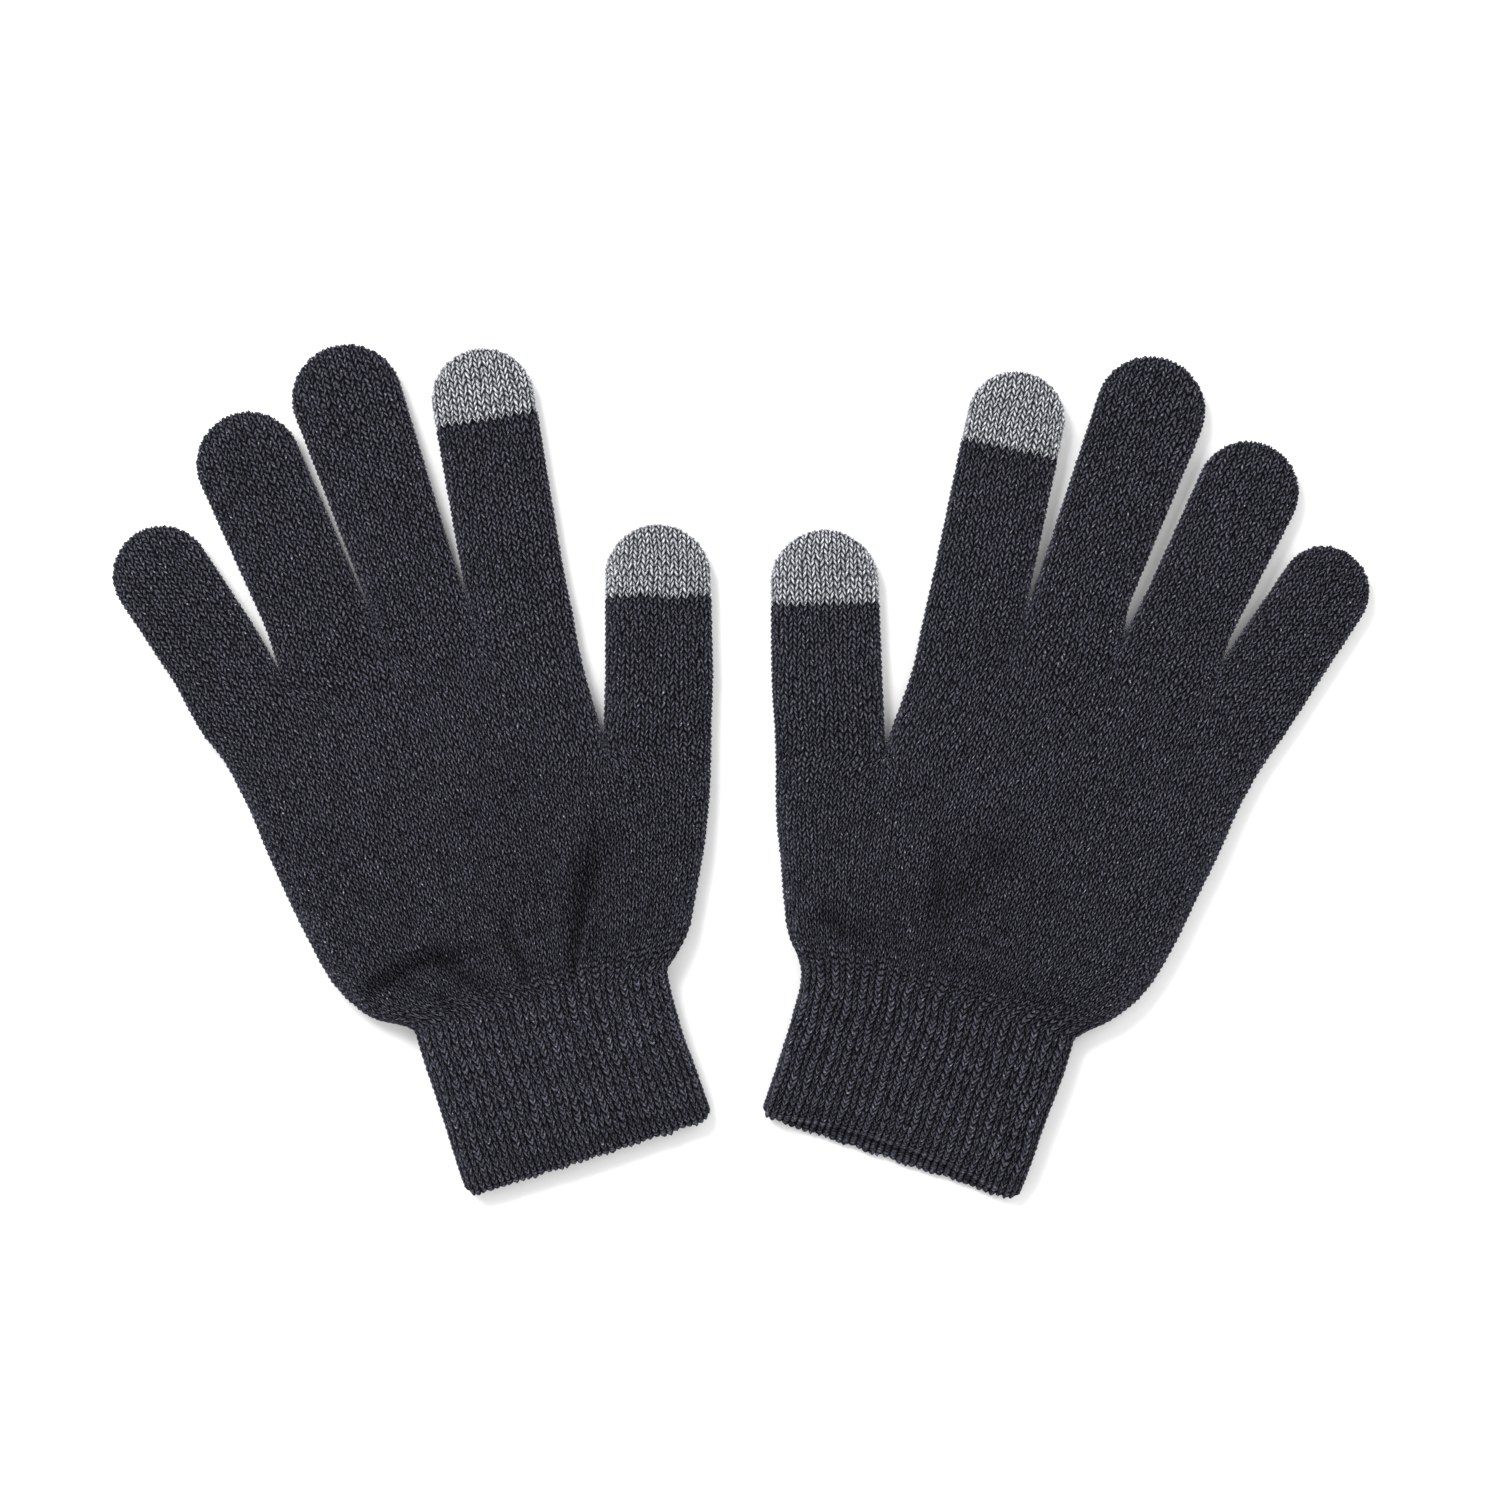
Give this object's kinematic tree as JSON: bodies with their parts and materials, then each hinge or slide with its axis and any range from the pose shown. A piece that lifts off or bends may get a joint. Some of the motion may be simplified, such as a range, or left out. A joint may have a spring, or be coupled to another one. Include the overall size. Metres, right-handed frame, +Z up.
{
  "type": "touchscreen gloves",
  "caption": "Pair of soft knitted gloves lying flat, with ribbed elastic cuffs and contrasting conductive thumb and index fingertips for touching screens.",
  "frame": {"origin": "middle of the pair's footprint, at the level of the table they lie on", "axes": "+Z up from the table, +Y the way the fingers point, +X from the left-hand lying glove to the other"},
  "size_m": [0.3306, 0.2232, 0.0115],
  "materials": {
    "plain_knit": "black acrylic stockinette",
    "rib_knit": "black rib knit",
    "cuff_edge": "black bound-off edge",
    "conductive_knit": "light grey conductive stockinette",
    "elastic_yarn": "covered elastic yarn"
  },
  "bodies": {
    "left_palm": {"left_palm": "plain_knit"},
    "left_cuff": {"left_cuff": "rib_knit", "left_cuff_hem": "cuff_edge", "left_cuff_elastic": "elastic_yarn"},
    "left_thumb_lower": {"left_thumb_lower": "plain_knit"},
    "left_thumb_upper": {"left_thumb_upper": "plain_knit", "left_thumb_touch_tip": "conductive_knit"},
    "left_index_lower": {"left_index_lower": "plain_knit"},
    "left_index_upper": {"left_index_upper": "plain_knit", "left_index_touch_tip": "conductive_knit"},
    "left_middle_lower": {"left_middle_lower": "plain_knit"},
    "left_middle_upper": {"left_middle_upper": "plain_knit"},
    "left_ring_lower": {"left_ring_lower": "plain_knit"},
    "left_ring_upper": {"left_ring_upper": "plain_knit"},
    "left_little_lower": {"left_little_lower": "plain_knit"},
    "left_little_upper": {"left_little_upper": "plain_knit"},
    "right_palm": {"right_palm": "plain_knit"},
    "right_cuff": {"right_cuff": "rib_knit", "right_cuff_hem": "cuff_edge", "right_cuff_elastic": "elastic_yarn"},
    "right_thumb_lower": {"right_thumb_lower": "plain_knit"},
    "right_thumb_upper": {"right_thumb_upper": "plain_knit", "right_thumb_touch_tip": "conductive_knit"},
    "right_index_lower": {"right_index_lower": "plain_knit"},
    "right_index_upper": {"right_index_upper": "plain_knit", "right_index_touch_tip": "conductive_knit"},
    "right_middle_lower": {"right_middle_lower": "plain_knit"},
    "right_middle_upper": {"right_middle_upper": "plain_knit"},
    "right_ring_lower": {"right_ring_lower": "plain_knit"},
    "right_ring_upper": {"right_ring_upper": "plain_knit"},
    "right_little_lower": {"right_little_lower": "plain_knit"},
    "right_little_upper": {"right_little_upper": "plain_knit"}
  },
  "joints": [
    {"name": "left_wrist_fold", "type": "hinge", "parent": "left_palm", "child": "left_cuff", "pos_m": [-0.0521, -0.06, 0.0115], "axis": [-0.9537, -0.3007, 0], "range_deg": [0, 120]},
    {"name": "left_thumb_root_fold", "type": "hinge", "parent": "left_palm", "child": "left_thumb_lower", "pos_m": [-0.02105, 0.01511, 0.009], "axis": [1, 0.0087, 0], "range_deg": [0, 35]},
    {"name": "left_thumb_middle_fold", "type": "hinge", "parent": "left_thumb_lower", "child": "left_thumb_upper", "pos_m": [-0.02124, 0.03711, 0.009], "axis": [1, 0.0087, 0], "range_deg": [0, 60]},
    {"name": "left_index_root_fold", "type": "hinge", "parent": "left_palm", "child": "left_index_lower", "pos_m": [-0.05726, 0.04218, 0.009], "axis": [0.9537, 0.3007, 0], "range_deg": [0, 85]},
    {"name": "left_index_middle_fold", "type": "hinge", "parent": "left_index_lower", "child": "left_index_upper", "pos_m": [-0.06288, 0.07501, 0.009], "axis": [0.9537, 0.3007, 0], "range_deg": [0, 95]},
    {"name": "left_middle_root_fold", "type": "hinge", "parent": "left_palm", "child": "left_middle_lower", "pos_m": [-0.08329, 0.04026, 0.009], "axis": [0.9537, 0.3007, 0], "range_deg": [0, 85]},
    {"name": "left_middle_middle_fold", "type": "hinge", "parent": "left_middle_lower", "child": "left_middle_upper", "pos_m": [-0.09496, 0.07433, 0.009], "axis": [0.9537, 0.3007, 0], "range_deg": [0, 95]},
    {"name": "left_ring_root_fold", "type": "hinge", "parent": "left_palm", "child": "left_ring_lower", "pos_m": [-0.10928, 0.03521, 0.009], "axis": [0.9537, 0.3007, 0], "range_deg": [0, 85]},
    {"name": "left_ring_middle_fold", "type": "hinge", "parent": "left_ring_lower", "child": "left_ring_upper", "pos_m": [-0.12156, 0.0628, 0.009], "axis": [0.9537, 0.3007, 0], "range_deg": [0, 95]},
    {"name": "left_little_root_fold", "type": "hinge", "parent": "left_palm", "child": "left_little_lower", "pos_m": [-0.13316, 0.02349, 0.009], "axis": [0.9537, 0.3007, 0], "range_deg": [0, 85]},
    {"name": "left_little_middle_fold", "type": "hinge", "parent": "left_little_lower", "child": "left_little_upper", "pos_m": [-0.14519, 0.04119, 0.009], "axis": [0.9537, 0.3007, 0], "range_deg": [0, 95]},
    {"name": "right_wrist_fold", "type": "hinge", "parent": "right_palm", "child": "right_cuff", "pos_m": [0.0524, -0.0609, 0.0115], "axis": [-0.9537, 0.3007, 0], "range_deg": [0, 120]},
    {"name": "right_thumb_root_fold", "type": "hinge", "parent": "right_palm", "child": "right_thumb_lower", "pos_m": [0.02341, 0.01377, 0.009], "axis": [0.9997, 0.0244, 0], "range_deg": [0, 35]},
    {"name": "right_thumb_middle_fold", "type": "hinge", "parent": "right_thumb_lower", "child": "right_thumb_upper", "pos_m": [0.02287, 0.03577, 0.009], "axis": [0.9997, 0.0244, 0], "range_deg": [0, 60]},
    {"name": "right_index_root_fold", "type": "hinge", "parent": "right_palm", "child": "right_index_lower", "pos_m": [0.06157, 0.04001, 0.009], "axis": [0.9537, -0.3007, 0], "range_deg": [0, 85]},
    {"name": "right_index_middle_fold", "type": "hinge", "parent": "right_index_lower", "child": "right_index_upper", "pos_m": [0.0682, 0.07148, 0.009], "axis": [0.9537, -0.3007, 0], "range_deg": [0, 95]},
    {"name": "right_middle_root_fold", "type": "hinge", "parent": "right_palm", "child": "right_middle_lower", "pos_m": [0.08788, 0.03801, 0.009], "axis": [0.9537, -0.3007, 0], "range_deg": [0, 85]},
    {"name": "right_middle_middle_fold", "type": "hinge", "parent": "right_middle_lower", "child": "right_middle_upper", "pos_m": [0.10039, 0.07129, 0.009], "axis": [0.9537, -0.3007, 0], "range_deg": [0, 95]},
    {"name": "right_ring_root_fold", "type": "hinge", "parent": "right_palm", "child": "right_ring_lower", "pos_m": [0.11438, 0.0349, 0.009], "axis": [0.9537, -0.3007, 0], "range_deg": [0, 85]},
    {"name": "right_ring_middle_fold", "type": "hinge", "parent": "right_ring_lower", "child": "right_ring_upper", "pos_m": [0.12656, 0.05989, 0.009], "axis": [0.9537, -0.3007, 0], "range_deg": [0, 95]},
    {"name": "right_little_root_fold", "type": "hinge", "parent": "right_palm", "child": "right_little_lower", "pos_m": [0.13632, 0.02169, 0.009], "axis": [0.9537, -0.3007, 0], "range_deg": [0, 85]},
    {"name": "right_little_middle_fold", "type": "hinge", "parent": "right_little_lower", "child": "right_little_upper", "pos_m": [0.14805, 0.03844, 0.009], "axis": [0.9537, -0.3007, 0], "range_deg": [0, 95]},
    {"name": "right_glove_lift", "type": "slide", "parent": "left_palm", "child": "right_palm", "axis": [0, 0, 1], "range_m": [0, 0.06]}
  ]
}
